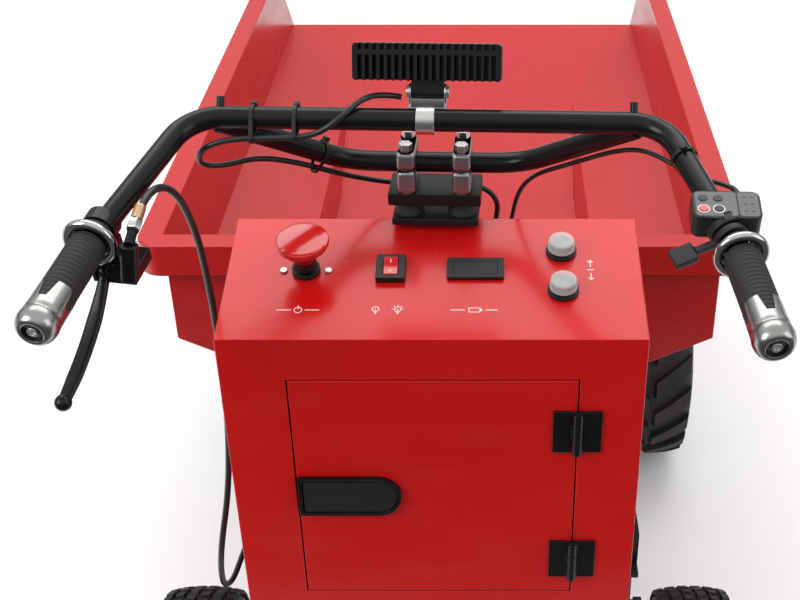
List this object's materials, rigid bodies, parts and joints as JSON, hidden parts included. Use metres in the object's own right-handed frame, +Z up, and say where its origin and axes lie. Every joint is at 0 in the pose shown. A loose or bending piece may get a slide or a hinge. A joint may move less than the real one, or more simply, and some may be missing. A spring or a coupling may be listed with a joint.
{
  "type": "power wheelbarrow",
  "caption": "Battery-driven tipping wheelbarrow: open steel tub, driven front wheels, linked trailing rear wheels, battery cabinet with control panel, handlebar with brake, throttle and lamp",
  "frame": {"origin": "on the ground, under the middle of the machine's length and width", "axes": "+X is the operator's right, +Y is forward from the handlebar to the tub's open lip, +Z is up"},
  "size_m": [0.83, 1.7138, 1.0928],
  "materials": {
    "red_paint": "gloss powder coat on folded sheet",
    "tub_paint": "gloss powder coat, lightly scuffed",
    "frame_paint": "satin black powder coat",
    "bar_paint": "semi-gloss black",
    "motor_paint": "satin black enamel",
    "rim_paint": "silver paint",
    "zinc": "bright zinc plate",
    "cast_aluminium": "sand-cast, blasted",
    "satin_aluminium": "satin anodised",
    "chrome": "polished",
    "tyre_rubber": "moulded tread",
    "black_rubber": "matt",
    "grip_rubber": "ribbed, dry matt",
    "hose_rubber": "smooth",
    "black_plastic": "fine grain",
    "red_plastic": "moulded, glossy",
    "key_plastic": "soft touch",
    "cap_silicone": "milky clear",
    "battery_case": "moulded case",
    "lamp_black": "matt black anodised casting"
  },
  "bodies": {
    "chassis": {"frame_rails": "frame_paint", "frame_cross_tubes": "frame_paint", "frame_brackets": "frame_paint", "pivot_pins": "zinc", "rubber_mounts": "black_rubber", "axle_bearings": "zinc", "transaxle_housing": "cast_aluminium", "drive_motor": "motor_paint", "kingpin_plates": "frame_paint", "cabinet_shell": "red_paint", "batteries": "battery_case", "motor_controller": "cast_aluminium", "door_hinges": "bar_paint", "estop_base": "black_plastic", "fixed_screws": "zinc", "rocker_housing": "black_plastic", "battery_gauge": "black_plastic", "tip_button_bodies": "black_plastic", "riser_stem": "frame_paint", "riser_clamps": "satin_aluminium", "handlebar_upper": "bar_paint", "handlebar_lower": "bar_paint", "grip_flanges": "chrome", "grip_rubbers": "grip_rubber", "grip_end_caps": "satin_aluminium", "brake_perch": "bar_paint", "brake_hose": "hose_rubber", "console_housing": "black_plastic", "lamp_bracket": "zinc", "lamp_cable": "hose_rubber", "console_cable": "hose_rubber", "cable_ties": "black_plastic"},
    "tub": {"tub_shell": "tub_paint", "tub_rails": "tub_paint"},
    "actuator": {"actuator_body": "motor_paint"},
    "actuator_rod": {"actuator_rod": "chrome"},
    "door": {"door_panel": "red_paint"},
    "latch": {"latch_paddle": "black_plastic"},
    "estop": {"estop_button": "red_plastic"},
    "rocker": {"rocker_key": "red_plastic"},
    "tip_up": {"tip_up_button": "cap_silicone"},
    "tip_down": {"tip_down_button": "cap_silicone"},
    "brake_lever": {"brake_lever": "bar_paint"},
    "throttle": {"throttle_paddle": "black_plastic"},
    "lamp": {"lamp_housing": "lamp_black"},
    "key_1": {"console_key_1": "key_plastic"},
    "key_2": {"console_key_2": "key_plastic"},
    "key_3": {"console_key_3": "red_plastic"},
    "key_4": {"console_key_4": "key_plastic"},
    "front_wheel_left": {"front_tyre_left": "tyre_rubber", "front_rim_left": "rim_paint"},
    "knuckle_left": {"knuckle_left": "frame_paint"},
    "rear_wheel_left": {"rear_tyre_left": "tyre_rubber", "rear_rim_left": "rim_paint"},
    "front_wheel_right": {"front_tyre_right": "tyre_rubber", "front_rim_right": "rim_paint"},
    "knuckle_right": {"knuckle_right": "frame_paint"},
    "rear_wheel_right": {"rear_tyre_right": "tyre_rubber", "rear_rim_right": "rim_paint"},
    "steering_link": {"steering_link": "zinc"}
  },
  "joints": [
    {"name": "tub_tip", "type": "hinge", "parent": "chassis", "child": "tub", "pos_m": [0, 0.3669, 0.43], "axis": [-1, 0, 0], "range_deg": [0, 50]},
    {"name": "actuator_swing", "type": "hinge", "parent": "chassis", "child": "actuator", "pos_m": [0, -0.0431, 0.19], "axis": [1, 0, 0], "range_deg": [-1, 5.15]},
    {"name": "actuator_extend", "type": "slide", "parent": "actuator", "child": "actuator_rod", "axis": [0, 0.7518, 0.6594], "range_m": [-0.001, 0.1024]},
    {"name": "door_open", "type": "hinge", "parent": "chassis", "child": "door", "pos_m": [0.15125, -0.6486, 0.622], "axis": [0, 0, 1], "range_deg": [0, 110]},
    {"name": "latch_pull", "type": "hinge", "parent": "door", "child": "latch", "pos_m": [-0.1423, -0.6472, 0.6185], "axis": [0, 0, -1], "range_deg": [0, 35], "stiffness_Nm_per_rad": 0.05, "springref_deg": -17.19},
    {"name": "estop_press", "type": "slide", "parent": "chassis", "child": "estop", "axis": [0, 0.2238, -0.9746], "range_m": [0, 0.006]},
    {"name": "rocker_flip", "type": "hinge", "parent": "chassis", "child": "rocker", "pos_m": [-0.046, -0.54677, 0.8477], "axis": [-1, 0, 0], "range_deg": [0, 18]},
    {"name": "tip_up_press", "type": "slide", "parent": "chassis", "child": "tip_up", "axis": [0, 0.2238, -0.9746], "range_m": [0, 0.003], "stiffness_N_per_m": 400, "springref_m": -0.002},
    {"name": "tip_down_press", "type": "slide", "parent": "chassis", "child": "tip_down", "axis": [0, 0.2238, -0.9746], "range_m": [0, 0.003], "stiffness_N_per_m": 400, "springref_m": -0.002},
    {"name": "brake_pull", "type": "hinge", "parent": "chassis", "child": "brake_lever", "pos_m": [-0.29182, -0.70866, 0.94281], "axis": [-0.9841, 0.1776, 0], "range_deg": [0, 18], "stiffness_Nm_per_rad": 0.8, "springref_deg": -17.19},
    {"name": "throttle_press", "type": "hinge", "parent": "chassis", "child": "throttle", "pos_m": [0.27539, -0.71777, 0.98101], "axis": [0.2989, -0.9104, -0.2862], "range_deg": [0, 40], "stiffness_Nm_per_rad": 0.05, "springref_deg": -22.92},
    {"name": "lamp_tilt", "type": "hinge", "parent": "chassis", "child": "lamp", "pos_m": [-0.00231, -0.53105, 1.043], "axis": [0.9993, -0.0366, 0], "range_deg": [-20, 20]},
    {"name": "key_1_press", "type": "slide", "parent": "chassis", "child": "key_1", "axis": [0.0076, 0.2078, -0.9781], "range_m": [0, 0.001], "stiffness_N_per_m": 150, "springref_m": -0.001},
    {"name": "key_2_press", "type": "slide", "parent": "chassis", "child": "key_2", "axis": [0.0076, 0.2078, -0.9781], "range_m": [0, 0.001], "stiffness_N_per_m": 150, "springref_m": -0.001},
    {"name": "key_3_press", "type": "slide", "parent": "chassis", "child": "key_3", "axis": [0.0076, 0.2078, -0.9781], "range_m": [0, 0.001], "stiffness_N_per_m": 150, "springref_m": -0.001},
    {"name": "key_4_press", "type": "slide", "parent": "chassis", "child": "key_4", "axis": [0.0076, 0.2078, -0.9781], "range_m": [0, 0.001], "stiffness_N_per_m": 150, "springref_m": -0.001},
    {"name": "front_wheel_left_spin", "type": "hinge", "parent": "chassis", "child": "front_wheel_left", "pos_m": [-0.34, 0.2519, 0.2], "axis": [-1, 0, 0], "continuous": true},
    {"name": "steer_left", "type": "hinge", "parent": "chassis", "child": "knuckle_left", "pos_m": [-0.232, -0.4421, 0.305], "axis": [0, 0, 1], "range_deg": [-30, 30]},
    {"name": "rear_wheel_left_spin", "type": "hinge", "parent": "knuckle_left", "child": "rear_wheel_left", "pos_m": [-0.339, -0.5021, 0.14], "axis": [-1, 0, 0], "continuous": true},
    {"name": "front_wheel_right_spin", "type": "hinge", "parent": "chassis", "child": "front_wheel_right", "pos_m": [0.34, 0.2519, 0.2], "axis": [-1, 0, 0], "continuous": true},
    {"name": "steer_right", "type": "hinge", "parent": "chassis", "child": "knuckle_right", "pos_m": [0.232, -0.4421, 0.305], "axis": [0, 0, 1], "range_deg": [-30, 30]},
    {"name": "rear_wheel_right_spin", "type": "hinge", "parent": "knuckle_right", "child": "rear_wheel_right", "pos_m": [0.339, -0.5021, 0.14], "axis": [-1, 0, 0], "continuous": true},
    {"name": "steering_link_turn", "type": "hinge", "parent": "knuckle_left", "child": "steering_link", "pos_m": [-0.232, -0.3871, 0.186], "axis": [0, 0, 1], "range_deg": [-30, 30]}
  ],
  "couplings": [
    {"joint": "actuator_swing", "follows": "tub_tip", "ratio": 0.08307},
    {"joint": "actuator_extend", "follows": "tub_tip", "m_per_rad": 0.11617},
    {"joint": "steer_right", "follows": "steer_left", "ratio": 1},
    {"joint": "steering_link_turn", "follows": "steer_left", "ratio": -1}
  ]
}
